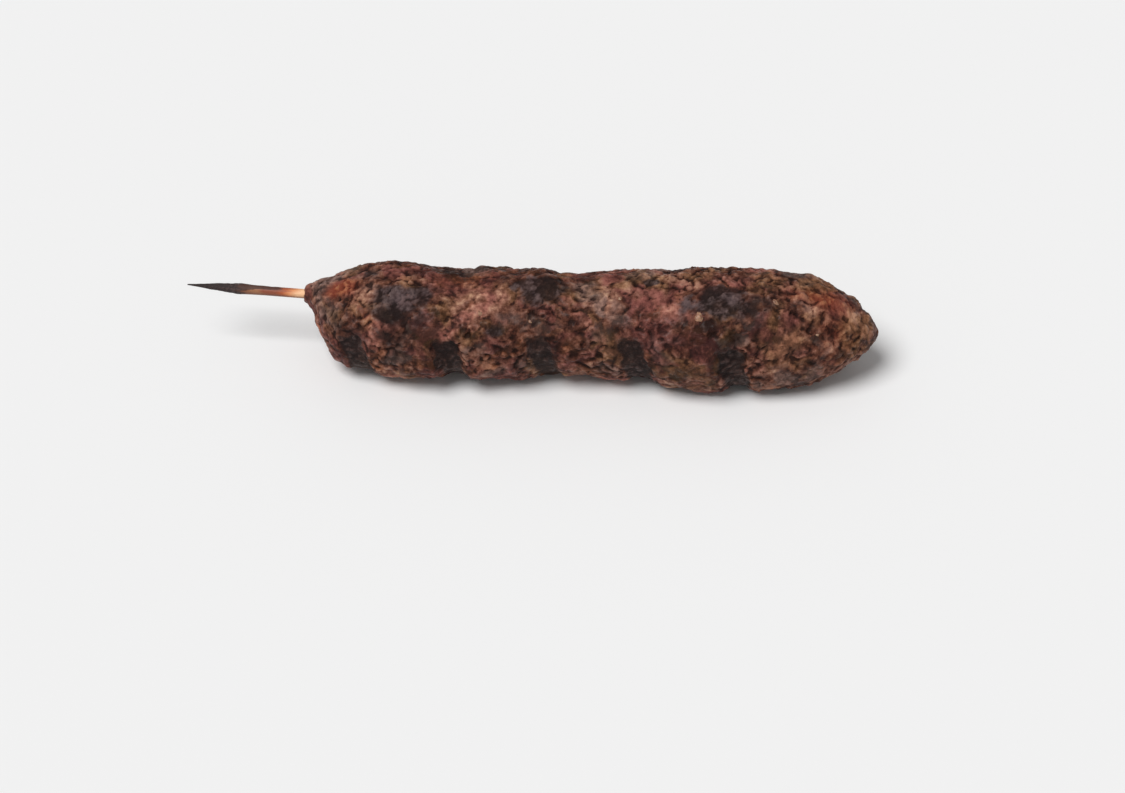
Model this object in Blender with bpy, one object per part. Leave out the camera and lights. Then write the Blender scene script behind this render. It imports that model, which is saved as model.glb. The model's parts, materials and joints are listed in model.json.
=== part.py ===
"""A beef kebab on a bamboo skewer, as it lies after grilling.

Minced beef is pressed by hand round the stick, so the meat is one long lumpy roll. It is blunt
where the stick's point comes out, drawn to a nose over the stick's blunt end, and sagged flat
underneath. The grill left sunken bars on both flanks and raised, scorched crusts on top.

Metres. +X runs from the stick's point to the covered end, +Y to the back and +Z up. The origin
is on the surface that the kebab lies on, below the middle of its outer box.
"""

import math

import bmesh
import bpy
import numpy as np
from mathutils import Vector, noise

MM = 0.001

# Driving sizes.
STICK_LENGTH = 178 * MM
STICK_DIAMETER = 2.6 * MM
STICK_SHOWS = 30.5 * MM
MEAT_LENGTH = 150.5 * MM
MEAT_WIDTH = 29.6 * MM
MEAT_HEIGHT = 28.6 * MM

# The stick: how it is sharpened, and its slope towards its point, as rise and drift per unit of X.
POINT_LENGTH = 13.5 * MM
POINT_RADIUS = 0.16 * MM
BUTT_CHAMFER = 0.3 * MM
STICK_SIDES = 20
STICK_RISE = 0.035
STICK_DRIFT = 0.042
STICK_CROSSES = 58 * MM
STICK_FIT = 0.3 * MM

# The roll of meat.
MEAT_START = -MEAT_LENGTH / 2 + STICK_SHOWS / 2
MEAT_END = MEAT_START + MEAT_LENGTH
SECTION_POWER = 2.25
BLUNT_REACH = 17 * MM
BLUNT_FULLNESS = 0.95
NOSE_REACH = 30 * MM
NOSE_FULLNESS = 0.62
COLLAR_RADIUS = 2.4 * MM
COLLAR_REACH = 6 * MM
BLUNT_PULL_REACH = 9 * MM
SAG_DEPTH = 1.1 * MM
RINGS = 102
RING_SIDES = 56
PROFILE_STEPS = 600

# Where the hand left the roll fuller or thinner: place along X, change of radius, reach.
SWELLS = (
    (-48 * MM, -0.7 * MM, 9 * MM),
    (14 * MM, -1.2 * MM, 11 * MM),
    (45 * MM, 1.4 * MM, 15 * MM),
)

# Lumpiness of the mince: size of the lumps and their height. Between lumps run narrow seams.
LUMPS = ((19 * MM, 1.3 * MM), (9 * MM, 0.6 * MM))
PEBBLE_SIZE = 5.6 * MM
PEBBLE_HEIGHT = 0.65 * MM
PEBBLE_SQUARENESS = 1.6

# Grill bars: their spacing, and on each flank the first bar's place and the arc that they cover.
# Angles go round the roll in degrees: 0 is the front, 90 the top, 180 the back, -90 the underside.
BAR_PITCH = 24.5 * MM
BAR_WIDTH = 6.4 * MM
BAR_EDGE = 2.0 * MM
BAR_DEPTH = 1.4 * MM
BAR_END_FADE = 12
BAR_STRAY = 1.5 * MM
BAR_END_STRAY = 14
BAR_SMOOTHING = 0.65
FRONT_BARS = {"first": -45 * MM, "count": 5, "low": -62, "high": 24, "slant": -2.2 * MM}
BACK_BARS = {"first": -33 * MM, "count": 5, "low": 152, "high": 236, "slant": 2.0 * MM}

# Scorched crusts that stand up on top: place along X, angle, reach along X and round, height.
CRUSTS = (
    (-31 * MM, 70, 7.5 * MM, 6.0 * MM, 1.0 * MM),
    (2 * MM, 92, 6.5 * MM, 6.0 * MM, 1.4 * MM),
    (47 * MM, 78, 7.0 * MM, 5.0 * MM, 0.9 * MM),
    (57 * MM, 66, 4.5 * MM, 4.0 * MM, 0.8 * MM),
)

MEAT_BROWN = (0.185, 0.078, 0.053, 1.0)
MEAT_ROUGHNESS = 0.6
BAMBOO_TAN = (0.70, 0.38, 0.22, 1.0)
BAMBOO_ROUGHNESS = 0.55
SHARP_ANGLE = math.radians(40)


def ease(value):
    """0 below 0, 1 above 1, and a smooth step between."""
    value = min(max(value, 0.0), 1.0)
    return value * value * (3 - 2 * value)


def bell(offset, reach):
    """1 at no offset, falling smoothly to nothing beyond the reach."""
    return math.exp(-((offset / reach) ** 2))


def stick_axis(x):
    """The point of the stick's centre line at x."""
    back = STICK_CROSSES - x
    return Vector((x, STICK_DRIFT * back, MEAT_HEIGHT / 2 - SAG_DEPTH + STICK_RISE * back))


def roll_axis(x):
    """The centre of the roll at x: level, and drawn to the stick where the stick comes out."""
    middle = Vector((x, 0, MEAT_HEIGHT / 2 - SAG_DEPTH))
    return middle.lerp(stick_axis(x), 1 - ease((x - MEAT_START) / BLUNT_PULL_REACH))


def rounded_end(distance, reach, fullness):
    """The share of the full radius at a distance from the tip of a rounded end."""
    return (1 - (1 - min(max(distance / reach, 0.0), 1.0)) ** 2) ** fullness


def radius_share(x):
    """The roll's radius at x as a share of its full radius, both ends and the swells included."""
    blunt = rounded_end(x - MEAT_START, BLUNT_REACH, BLUNT_FULLNESS)
    nose = rounded_end(MEAT_END - x, NOSE_REACH, NOSE_FULLNESS)
    swell = sum(gain * bell(x - place, reach) for place, gain, reach in SWELLS)
    return blunt * nose * (1 + swell / (MEAT_HEIGHT / 2))


def roll_point(x, angle):
    """The point of the smooth roll at x and at an angle round it, in radians."""
    share = radius_share(x)
    across, up = math.cos(angle), math.sin(angle)
    flat = abs(across / (MEAT_WIDTH / 2)) ** SECTION_POWER + abs(up / (MEAT_HEIGHT / 2)) ** SECTION_POWER
    radius = share * flat ** (-1 / SECTION_POWER)
    collar = COLLAR_RADIUS * (1 - ease((x - MEAT_START) / COLLAR_REACH))
    radius = math.hypot(radius, collar)
    return roll_axis(x) + Vector((0, -radius * across, radius * up))


def angle_round(point):
    """The angle of a point round the roll, in degrees, from -90 up to 270."""
    from_axis = point - roll_axis(point.x)
    return (math.degrees(math.atan2(from_axis.z, -from_axis.y)) + 90) % 360 - 90


def bar_depth(point):
    """How deep the grill bars press in at a point of the roll, from 0 to 1."""
    angle = angle_round(point)
    deepest = 0.0
    for bars in (FRONT_BARS, BACK_BARS):
        middle = (bars["low"] + bars["high"]) / 2
        half_arc = (bars["high"] - bars["low"]) / 2
        along_arc = (angle - middle) / half_arc
        for number in range(bars["count"]):
            stray = noise.noise(Vector((number * BAR_PITCH, bars["first"], 0)) / BAR_WIDTH)
            bar_x = bars["first"] + number * BAR_PITCH + bars["slant"] * along_arc + stray * BAR_STRAY
            past_side = (abs(point.x - bar_x) - BAR_WIDTH / 2) / BAR_EDGE
            past_end = (abs(angle - middle + stray * BAR_END_STRAY) - half_arc) / BAR_END_FADE
            deepest = max(deepest, (1 - ease(past_side + 0.5)) * (1 - ease(past_end + 0.5)))
    return deepest


def crust_height(point):
    """How far the scorched crusts stand up at a point of the roll."""
    height = 0.0
    angle = angle_round(point)
    for place, crust_angle, along, around, rise in CRUSTS:
        arc = math.radians(angle - crust_angle) * MEAT_HEIGHT / 2
        height += rise * bell(math.hypot((point.x - place) / along, arc / around), 1.0)
    return height


def pebble_height(point):
    """The rounded top of the clump of mince that a point is on, from 0 at its seam to 1."""
    distances, _ = noise.voronoi(point / PEBBLE_SIZE)
    return ease((distances[1] - distances[0]) * PEBBLE_SQUARENESS)


def relief(point):
    """How far the surface stands out from the smooth roll at a point."""
    bar = bar_depth(point)
    lumps = sum(rise * noise.noise(point / size) for size, rise in LUMPS)
    rough = lumps + PEBBLE_HEIGHT * (pebble_height(point) - 0.5)
    stands_out = rough * (1 - BAR_SMOOTHING * bar) + crust_height(point) - BAR_DEPTH * bar
    return stands_out * ease((point.x - MEAT_START) / COLLAR_REACH)


def make_object(name, bm):
    """A new object in the scene, shaded smooth, from a bmesh, which is freed."""
    bmesh.ops.recalc_face_normals(bm, faces=bm.faces)
    mesh = bpy.data.meshes.new(name)
    bm.to_mesh(mesh)
    bm.free()
    mesh.shade_smooth()
    mesh.set_sharp_from_angle(angle=SHARP_ANGLE)
    obj = bpy.data.objects.new(name, mesh)
    bpy.context.scene.collection.objects.link(obj)
    return obj


def make_material(name, colour, roughness):
    """A Principled material of one colour."""
    material = bpy.data.materials.new(name)
    material.use_nodes = True
    shader = material.node_tree.nodes["Principled BSDF"]
    shader.inputs["Base Color"].default_value = colour
    shader.inputs["Roughness"].default_value = roughness
    shader.inputs["Metallic"].default_value = 0.0
    material.diffuse_color = colour
    return material


def ring_places():
    """The rings' places along X, which share the roll's profile into equal lengths."""
    places = np.linspace(MEAT_START, MEAT_END, PROFILE_STEPS + 1)
    radii = [radius_share(x) * MEAT_HEIGHT / 2 for x in places]
    lengths = np.hypot(np.diff(places), np.diff(radii))
    along = np.concatenate([[0.0], np.cumsum(lengths)])
    return np.interp(np.linspace(0, along[-1], RINGS + 1), along, places)


def lofted_roll():
    """The smooth roll as rings joined by quads, closed at both ends."""
    bm = bmesh.new()
    angles = [2 * math.pi * side / RING_SIDES for side in range(RING_SIDES)]
    rings = [[bm.verts.new(roll_point(x, angle)) for angle in angles] for x in ring_places()]
    for ring, after in zip(rings, rings[1:]):
        for side in range(RING_SIDES):
            other = (side + 1) % RING_SIDES
            bm.faces.new((ring[side], after[side], after[other], ring[other]))
    bm.faces.new(rings[0])
    bmesh.ops.remove_doubles(bm, verts=bm.verts, dist=0.01 * MM)
    bmesh.ops.recalc_face_normals(bm, faces=bm.faces)
    return bm


def cut_flat(bm):
    """Cuts the meat off level with the surface that it lies on, and closes the cut."""
    everything = bm.verts[:] + bm.edges[:] + bm.faces[:]
    cut = bmesh.ops.bisect_plane(
        bm, geom=everything, dist=1e-7, plane_co=(0, 0, 0), plane_no=(0, 0, -1), clear_outer=True
    )
    edges = [part for part in cut["geom_cut"] if isinstance(part, bmesh.types.BMEdge)]
    bmesh.ops.holes_fill(bm, edges=edges)


def make_meat():
    """The roll with its relief, cut flat underneath."""
    bm = lofted_roll()
    bm.normal_update()
    for vert in bm.verts:
        vert.co += vert.normal * relief(vert.co)
    bmesh.ops.triangulate(bm, faces=bm.faces)
    cut_flat(bm)
    return make_object("meat", bm)


def turned_stick(name, grow=0.0):
    """The stick turned about its own X axis, with its point at the origin, grown all round."""
    radius = STICK_DIAMETER / 2 + grow
    tip = POINT_RADIUS + grow
    profile = (
        (-grow, 0.0),
        (-grow, tip),
        (POINT_LENGTH, radius),
        (STICK_LENGTH + grow - BUTT_CHAMFER, radius),
        (STICK_LENGTH + grow, radius - BUTT_CHAMFER),
        (STICK_LENGTH + grow, 0.0),
    )
    bm = bmesh.new()
    verts = [bm.verts.new((x, 0, r)) for x, r in profile]
    edges = [bm.edges.new(pair) for pair in zip(verts, verts[1:])]
    bmesh.ops.spin(
        bm, geom=verts + edges, cent=(0, 0, 0), axis=(1, 0, 0), angle=2 * math.pi, steps=STICK_SIDES
    )
    bmesh.ops.remove_doubles(bm, verts=bm.verts, dist=0.001 * MM)
    return make_object(name, bm)


def lay_stick(stick):
    """Turns a stick to its slope and puts its point where it belongs."""
    tip = stick_axis(MEAT_START - STICK_SHOWS)
    along = (stick_axis(MEAT_END) - tip).normalized()
    stick.location = tip
    stick.rotation_mode = "QUATERNION"
    stick.rotation_quaternion = along.to_track_quat("X", "Z")


def bore_for_stick(meat):
    """Cuts the bore that the stick runs in."""
    cutter = turned_stick("stick_bore", STICK_FIT)
    lay_stick(cutter)
    cutter.hide_render = True
    cutter.display_type = "WIRE"
    bore = meat.modifiers.new("bore", "BOOLEAN")
    bore.operation = "DIFFERENCE"
    bore.object = cutter
    return cutter


def lowest_and_highest(objects):
    """The corners of the box round objects, modifiers included."""
    bpy.context.view_layer.update()
    graph = bpy.context.evaluated_depsgraph_get()
    points = []
    for obj in objects:
        shown = obj.evaluated_get(graph)
        points += [shown.matrix_world @ vert.co for vert in shown.data.vertices]
    low = Vector(min(point[axis] for point in points) for axis in range(3))
    high = Vector(max(point[axis] for point in points) for axis in range(3))
    return low, high


def main():
    """Builds the kebab and centres it over the origin."""
    for obj in list(bpy.data.objects):
        bpy.data.objects.remove(obj)
    meat = make_meat()
    meat.data.materials.append(make_material("grilled_mince", MEAT_BROWN, MEAT_ROUGHNESS))
    skewer = turned_stick("skewer")
    skewer.data.materials.append(make_material("bamboo", BAMBOO_TAN, BAMBOO_ROUGHNESS))
    lay_stick(skewer)
    cutter = bore_for_stick(meat)
    kebab = bpy.data.objects.new("kebab", None)
    bpy.context.scene.collection.objects.link(kebab)
    for obj in (meat, skewer, cutter):
        obj.parent = kebab
    low, high = lowest_and_highest((meat, skewer))
    kebab.location = (-(low.x + high.x) / 2, -(low.y + high.y) / 2, -low.z)


main()
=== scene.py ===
"""Looks of a grilled beef kebab on its bamboo skewer.

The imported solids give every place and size. The roll of meat is remade as a fine mesh with
granules, cracks, scorched crusts and grill bars, and bits of browned fat show in its crust. The
skewer is remade with its fibres and its charred point.

Lengths are in metres, with +X from the skewer's point to the covered end, +Y to the back and
+Z up. Angles round the roll are in degrees: 0 is the front, 90 the top, 180 the back and -90 the
underside.
"""

import json
import logging
import math
from collections.abc import Mapping, Sequence
from dataclasses import dataclass
from enum import Enum

import bmesh
import bpy
import numpy as np
from mathutils import Matrix, Vector, noise

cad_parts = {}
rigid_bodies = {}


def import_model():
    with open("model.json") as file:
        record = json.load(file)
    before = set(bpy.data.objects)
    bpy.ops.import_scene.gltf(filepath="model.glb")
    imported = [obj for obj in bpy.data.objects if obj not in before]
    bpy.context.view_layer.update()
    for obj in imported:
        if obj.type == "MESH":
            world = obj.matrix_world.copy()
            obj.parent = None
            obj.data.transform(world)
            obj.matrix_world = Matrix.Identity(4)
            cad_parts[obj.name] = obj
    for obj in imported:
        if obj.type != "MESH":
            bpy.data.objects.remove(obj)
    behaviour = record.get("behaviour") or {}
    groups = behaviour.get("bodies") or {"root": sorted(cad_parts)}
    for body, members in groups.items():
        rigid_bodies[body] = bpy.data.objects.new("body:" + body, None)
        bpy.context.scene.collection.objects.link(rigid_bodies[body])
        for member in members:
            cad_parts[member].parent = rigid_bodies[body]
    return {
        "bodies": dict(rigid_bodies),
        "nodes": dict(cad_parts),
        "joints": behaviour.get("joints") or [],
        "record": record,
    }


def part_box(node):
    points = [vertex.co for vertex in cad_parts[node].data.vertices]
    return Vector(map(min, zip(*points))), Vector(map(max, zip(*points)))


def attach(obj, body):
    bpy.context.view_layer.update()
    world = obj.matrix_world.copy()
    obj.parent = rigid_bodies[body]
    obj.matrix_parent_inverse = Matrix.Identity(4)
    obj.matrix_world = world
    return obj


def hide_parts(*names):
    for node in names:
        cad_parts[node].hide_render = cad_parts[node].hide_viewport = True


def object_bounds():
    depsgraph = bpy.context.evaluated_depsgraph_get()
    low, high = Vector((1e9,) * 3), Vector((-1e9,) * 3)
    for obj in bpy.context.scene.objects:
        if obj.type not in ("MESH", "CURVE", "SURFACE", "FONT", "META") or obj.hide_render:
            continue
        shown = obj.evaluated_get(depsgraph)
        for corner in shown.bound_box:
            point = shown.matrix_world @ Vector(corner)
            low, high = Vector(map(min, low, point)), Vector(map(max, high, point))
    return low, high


log = logging.getLogger("kebab")

MM = 0.001
Colour = tuple[float, float, float]


# Shader graphs ---


class Wire:
    """A node's output in a formula: each operator adds the Math node that works it out."""

    def __init__(self, graph: "Graph", socket: bpy.types.NodeSocket) -> None:
        """Keeps the output and the graph that it is in."""
        self.graph = graph
        self.socket = socket

    def math(self, operation: str, *terms: "float | Wire") -> "Wire":
        """The result of a new Math node with an operation and its terms, in order."""
        node = self.graph.node("ShaderNodeMath", {"operation": operation}, dict(enumerate(terms)))
        return Wire(self.graph, node.outputs[0])

    def __add__(self, other: "float | Wire") -> "Wire":
        """This plus another."""
        return self.math("ADD", self, other)

    def __radd__(self, other: float) -> "Wire":
        """A number plus this."""
        return self.math("ADD", other, self)

    def __sub__(self, other: "float | Wire") -> "Wire":
        """This less another."""
        return self.math("SUBTRACT", self, other)

    def __rsub__(self, other: float) -> "Wire":
        """A number less this."""
        return self.math("SUBTRACT", other, self)

    def __mul__(self, other: "float | Wire") -> "Wire":
        """This times another."""
        return self.math("MULTIPLY", self, other)

    def __rmul__(self, other: float) -> "Wire":
        """A number times this."""
        return self.math("MULTIPLY", other, self)

    def __truediv__(self, other: "float | Wire") -> "Wire":
        """This over another."""
        return self.math("DIVIDE", self, other)

    def sway(self, reach: float) -> "Wire":
        """How far this value strays from a half, times a reach."""
        return (self - 0.5) * reach

    def step(self, low: float, high: float) -> "Wire":
        """A smooth step of this value.

        Args:
            low: the value that gives 0.
            high: the value that gives 1. It may be the smaller, for a step down.

        Returns:
            The step, from 0 to 1.
        """
        sockets = {"Value": self, "From Min": low, "From Max": high}
        node = self.graph.node("ShaderNodeMapRange", {"interpolation_type": "SMOOTHSTEP"}, sockets)
        return Wire(self.graph, node.outputs[0])


# What an input of a node may get: a number, a colour or vector, or another node's output.
Feed = float | tuple | Wire


class Graph:
    """The node graph of one material."""

    def __init__(self, name: str) -> None:
        """Makes the material, with an empty graph.

        Args:
            name: the material's name.
        """
        self.material = bpy.data.materials.new(name)
        self.material.use_nodes = True
        self.tree = self.material.node_tree
        self.tree.nodes.clear()

    def node(
        self,
        kind: str,
        settings: Mapping[str, object] | None = None,
        sockets: Mapping[str | int, Feed] | None = None,
    ) -> bpy.types.Node:
        """Adds one node.

        Args:
            kind: the node's type.
            settings: its properties, which are set first. "stops" gives a ramp's (place, colour).
            sockets: its inputs by name or number, each with a value or a wire.

        Returns:
            The node.
        """
        node = self.tree.nodes.new(kind)
        for name, value in (settings or {}).items():
            if name == "stops":
                self._set_stops(node.color_ramp, value)
            else:
                setattr(node, name, value)
        for key, value in (sockets or {}).items():
            if isinstance(value, Wire):
                self.tree.links.new(value.socket, node.inputs[key])
            else:
                room = node.inputs[key].default_value
                padded = (*value, 1.0) if isinstance(value, tuple) and len(room) == 4 else value
                node.inputs[key].default_value = padded
        return node

    @staticmethod
    def _set_stops(ramp: bpy.types.ColorRamp, stops: Sequence[tuple[float, Colour]]) -> None:
        """Gives a ramp its stops.

        Args:
            ramp: the ramp, which has two stops to begin with.
            stops: each stop's place and colour, in order.
        """
        for _ in stops[2:]:
            ramp.elements.new(1.0)
        for element, (place, colour) in zip(ramp.elements, stops):
            element.position = place
            element.color = (*colour, 1.0)

    def out(self, node: bpy.types.Node, name: str | int = 0) -> Wire:
        """A node's output, by name or number."""
        return Wire(self, node.outputs[name])

    def place(self) -> Wire:
        """The point of the surface, in metres."""
        return self.out(self.node("ShaderNodeTexCoord"), "Object")

    def mark(self, mark: "Mark", output: str = "Fac") -> Wire:
        """What the mesh stores at a point under a mark."""
        return self.out(self.node("ShaderNodeAttribute", {"attribute_name": mark.value}), output)

    def noise(self, place: Wire, size: float, detail: float = 3.0, rough: float = 0.55) -> Wire:
        """Soft noise from 0 to 1, with its largest blotches' size in metres."""
        sockets = {"Vector": place, "Scale": 1 / size, "Detail": detail, "Roughness": rough}
        return self.out(self.node("ShaderNodeTexNoise", {}, sockets))

    def mix(self, share: Feed, first: Feed, second: Feed) -> Wire:
        """A blend of two colours, which is the second where its share is 1."""
        sockets = {0: share, 6: first, 7: second}
        return self.out(self.node("ShaderNodeMix", {"data_type": "RGBA"}, sockets), 2)

    def ramp(self, place: Wire, stops: Sequence[tuple[float, Colour]]) -> Wire:
        """The colour that a ramp with these stops gives a value."""
        return self.out(self.node("ShaderNodeValToRGB", {"stops": stops}, {0: place}))

    def bump(self, height: Wire, depth: float, under: Wire | None = None) -> Wire:
        """A bumpy normal.

        Args:
            height: the bumps, from 0 to 1.
            depth: how far the surface rises from 0 to 1, in metres.
            under: a normal that the bumps are added to.

        Returns:
            The normal.
        """
        sockets: dict[str | int, Feed] = {"Height": height, "Distance": depth}
        if under:
            sockets["Normal"] = under
        return self.out(self.node("ShaderNodeBump", {}, sockets))

    def surface(self, sockets: Mapping[str | int, Feed]) -> bpy.types.Material:
        """Closes the graph with its surface.

        Args:
            sockets: what the surface's inputs get.

        Returns:
            The finished material.
        """
        shader = self.node("ShaderNodeBsdfPrincipled", {}, sockets)
        self.node("ShaderNodeOutputMaterial", {}, {"Surface": self.out(shader)})
        return self.material


def paint(red: float, green: float, blue: float) -> Colour:
    """A colour as light, each part from 0 to 1, from what a screen shows, from 0 to 255."""
    parts = [part / 255 for part in (red, green, blue)]
    return tuple(part / 12.92 if part <= 0.04045 else ((part + 0.055) / 1.055) ** 2.4 for part in parts)


# Meshes and noise ---


class Mark(Enum):
    """What a mesh stores at each of its points, under the name that its finish reads."""

    CHAR = "char"
    BAR = "bar"
    HEIGHT = "height"
    TONE = "tone"
    TINT = "tint"
    RED = "red"
    GRAIN = "grain"
    ALONG = "along"


def ease(values: np.ndarray) -> np.ndarray:
    """A smooth step from 0 to 1 of values from 0 to 1."""
    held = np.clip(values, 0.0, 1.0)
    return held * held * (3 - 2 * held)


def soft_noise(points: np.ndarray, size: float, seed: float = 0.0) -> np.ndarray:
    """Soft noise from -1 to 1 at points, which come one a row. The seed tells it from others."""
    return np.array([noise.noise(spot) for spot in (points / size + seed).tolist()])


def noise_rows(points: np.ndarray, size: float, seed: float, gap: float) -> np.ndarray:
    """Three soft noises at points, side by side, with seeds that lie a gap apart."""
    return np.stack([soft_noise(points, size, seed + gap * number) for number in range(3)], axis=1)


# How blunt the creases between lumps are, and the noise at which a lump's side ends.
CREASE = 0.1
SIDE = 0.4
# The usual value of lumps, which is taken off so that they leave the roll as thick as it was.
USUAL_LUMP = 0.6
# How far apart the seeds of the noises that push points along X, Y and Z are.
AXIS_GAP = 17.3
# Spreads the middles of cells out, so that each draws its own numbers.
DRAW_SCALE = 91.7


@dataclass(frozen=True)
class Stir:
    """Noise that pushes points about, so that what is drawn from them loses its regular look.

    Attributes:
        size: the size of the noise's blotches.
        reach: how far a point may move.
        seed: a number that tells this noise from others.
    """

    size: float
    reach: float
    seed: float

    def moved(self, points: np.ndarray) -> np.ndarray:
        """The points, pushed about."""
        return points + self.reach * noise_rows(points, self.size, self.seed, AXIS_GAP)


@dataclass(frozen=True)
class Relief:
    """One kind of bump or blotch.

    Attributes:
        size: how broad the bumps are.
        height: how far they rise, or how strong the blotches are.
        seed: a number that tells them from others.
    """

    size: float
    height: float
    seed: float

    def waves(self, points: np.ndarray) -> np.ndarray:
        """Soft waves, up and down."""
        return self.height * soft_noise(points, self.size, self.seed)

    def lumps(self, points: np.ndarray) -> np.ndarray:
        """Rounded lumps with narrow creases between them, where the noise is near 0.

        Args:
            points: the points, one a row.

        Returns:
            A rise for each point, which is below 0 in the creases.
        """
        away = np.sqrt(soft_noise(points, self.size, self.seed) ** 2 + CREASE**2) - CREASE
        climb = np.clip(away / SIDE, 0.0, 1.0)
        return self.height * (1 - (1 - climb) ** 2 - USUAL_LUMP)


def waves(points: np.ndarray, *reliefs: Relief) -> np.ndarray:
    """Several kinds of soft waves together."""
    return sum(relief.waves(points) for relief in reliefs)


class Cells:
    """The cells round scattered centres, which crumbly surfaces break into."""

    def __init__(self, points: np.ndarray, size: float, seed: float = 0.0) -> None:
        """Finds the cell of each point.

        Args:
            points: the points, one a row.
            size: the cells' size.
            seed: a number that tells these cells from others.
        """
        found = [noise.voronoi(spot) for spot in (points / size + seed).tolist()]
        distances = np.array([nearest[0][:2] for nearest in found])
        self.distance = distances[:, 0]
        self.seam = distances[:, 1] - distances[:, 0]
        self.draws = np.array([noise.cell_vector(nearest[1][0] * DRAW_SCALE)[:] for nearest in found])

    def spots(self, share: float, width: float) -> np.ndarray:
        """Spots in a share of the cells: 1 in their middles, and 0 from a width away."""
        return ease(1 - self.distance / width) * (self.draws[:, 0] < share)

    def combed(self, points: np.ndarray, stretch: float) -> np.ndarray:
        """Points squeezed along each cell's own direction, so that patterns run that way.

        Args:
            points: the points, one a row.
            stretch: how many times longer than wide a pattern drawn from the result is.

        Returns:
            The squeezed points, which jump from cell to cell.
        """
        along = self.draws - 0.5
        along /= np.linalg.norm(along, axis=1)[:, None]
        reach = (points * along).sum(axis=1)[:, None]
        return points - along * reach * (1 - 1 / stretch)


@dataclass(frozen=True)
class Dots:
    """Round nubs or pits in some of many scattered places.

    Attributes:
        size: the usual distance between the places.
        share: the share of the places that have one.
        width: their radius, as a share of that distance.
        height: how far they rise or sink.
        seed: a number that tells them from others.
        stir: what makes them less round.
    """

    size: float
    share: float
    width: float
    height: float
    seed: float
    stir: Stir

    def at(self, points: np.ndarray) -> np.ndarray:
        """A value for each point, from 0 outside the dots to 1 in their middles."""
        return Cells(self.stir.moved(points), self.size, self.seed).spots(self.share, self.width)


def new_object(name: str, data: bpy.types.ID) -> bpy.types.Object:
    """Puts a mesh, a light or a camera in the scene as an object.

    Args:
        name: the object's name.
        data: the mesh, light or camera.

    Returns:
        The object.
    """
    obj = bpy.data.objects.new(name, data)
    bpy.context.scene.collection.objects.link(obj)
    return obj


def apply_modifiers(obj: bpy.types.Object) -> None:
    """Makes an object's modifiers part of its mesh.

    Args:
        obj: the object.
    """
    graph = bpy.context.evaluated_depsgraph_get()
    mesh = bpy.data.meshes.new_from_object(obj.evaluated_get(graph))
    obj.modifiers.clear()
    obj.data = mesh


class Skin:
    """The points of an object's mesh, as arrays."""

    def __init__(self, obj: bpy.types.Object) -> None:
        """Reads the mesh.

        Args:
            obj: the object.
        """
        self.mesh = obj.data
        self.points = self._read("co")
        self.normals = self._read("normal")

    def _read(self, name: str) -> np.ndarray:
        """Reads one property of the mesh's points.

        Args:
            name: the property's name.

        Returns:
            A row of three for each point.
        """
        values = np.empty(len(self.mesh.vertices) * 3, np.float32)
        self.mesh.vertices.foreach_get(name, values)
        return values.reshape(-1, 3).astype(float)

    def rise(self, heights: np.ndarray) -> None:
        """Moves each point along its normal by its height, and reads the normals again."""
        self.points += self.normals * heights[:, None]
        self.write()

    def write(self) -> None:
        """Puts the points back in the mesh."""
        self.mesh.vertices.foreach_set("co", self.points.astype(np.float32).ravel())
        self.mesh.update()
        self.normals = self._read("normal")

    def blurred(self, values: np.ndarray, rounds: int) -> np.ndarray:
        """Values averaged with those of the points next to them.

        Args:
            values: one value for each point.
            rounds: how many times they are averaged.

        Returns:
            The averaged values.
        """
        edges = np.empty(len(self.mesh.edges) * 2, np.int32)
        self.mesh.edges.foreach_get("vertices", edges)
        first, second = edges.reshape(-1, 2).T
        count = len(self.points)
        shares = np.bincount(first, minlength=count) + np.bincount(second, minlength=count) + 1
        for _ in range(rounds):
            passed = np.bincount(first, values[second], count) + np.bincount(second, values[first], count)
            values = (values + passed) / shares
        return values

    def store(self, mark: Mark, values: np.ndarray) -> None:
        """Stores a value, or a row of three, at each point.

        Args:
            mark: what the values are.
            values: one value or row for each point.
        """
        kind, field = ("FLOAT", "value") if values.ndim == 1 else ("FLOAT_VECTOR", "vector")
        attribute = self.mesh.attributes.new(mark.value, kind, "POINT")
        attribute.data.foreach_set(field, values.astype(np.float32).ravel())


# The roll of meat ---


class RollFrame:
    """Where the roll of meat lies, for finding places on it."""

    # The height of the line that angles are measured round, as a share of the roll's height.
    AXIS_SHARE = 0.46

    def __init__(self, node: str) -> None:
        """Measures the roll's solid.

        Args:
            node: the solid's node.
        """
        low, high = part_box(node)
        self.start = low.x
        self.axis = Vector((0, (low.y + high.y) / 2, high.z * self.AXIS_SHARE))
        self.radius = (high.z - low.z) / 2

    def angles(self, points: np.ndarray) -> np.ndarray:
        """The angle round the roll of each point, from -90 up to 270."""
        turned = np.degrees(np.arctan2(points[:, 2] - self.axis.z, self.axis.y - points[:, 1]))
        return (turned + 90) % 360 - 90

    def offsets(self, points: np.ndarray, along: float, angle: float) -> tuple[np.ndarray, np.ndarray]:
        """How far points are from a place on the roll, along the roll and round it."""
        turned = (self.angles(points) - angle + 180) % 360 - 180
        return points[:, 0] - self.start - along, np.radians(turned) * self.radius

    def spots(self, points: np.ndarray, blots: "Sequence[Blot]") -> np.ndarray:
        """How strongly points lie on blots.

        Args:
            points: the points, one a row.
            blots: the blots.

        Returns:
            The sum of the blots for each point. One blot is its strength in its middle.
        """
        total = np.zeros(len(points))
        for blot in blots:
            along, around = self.offsets(points, blot.along, blot.angle)
            away = (along / blot.length) ** 2 + (around / blot.breadth) ** 2
            total += blot.strength * np.exp(-away)
        return total


@dataclass(frozen=True)
class Blot:
    """A soft oval on the roll.

    Attributes:
        along: its distance from the roll's start.
        angle: its angle round the roll.
        length: its reach along the roll.
        breadth: its reach round the roll.
        strength: its value in the middle.
    """

    along: float
    angle: float
    length: float
    breadth: float
    strength: float


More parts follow.
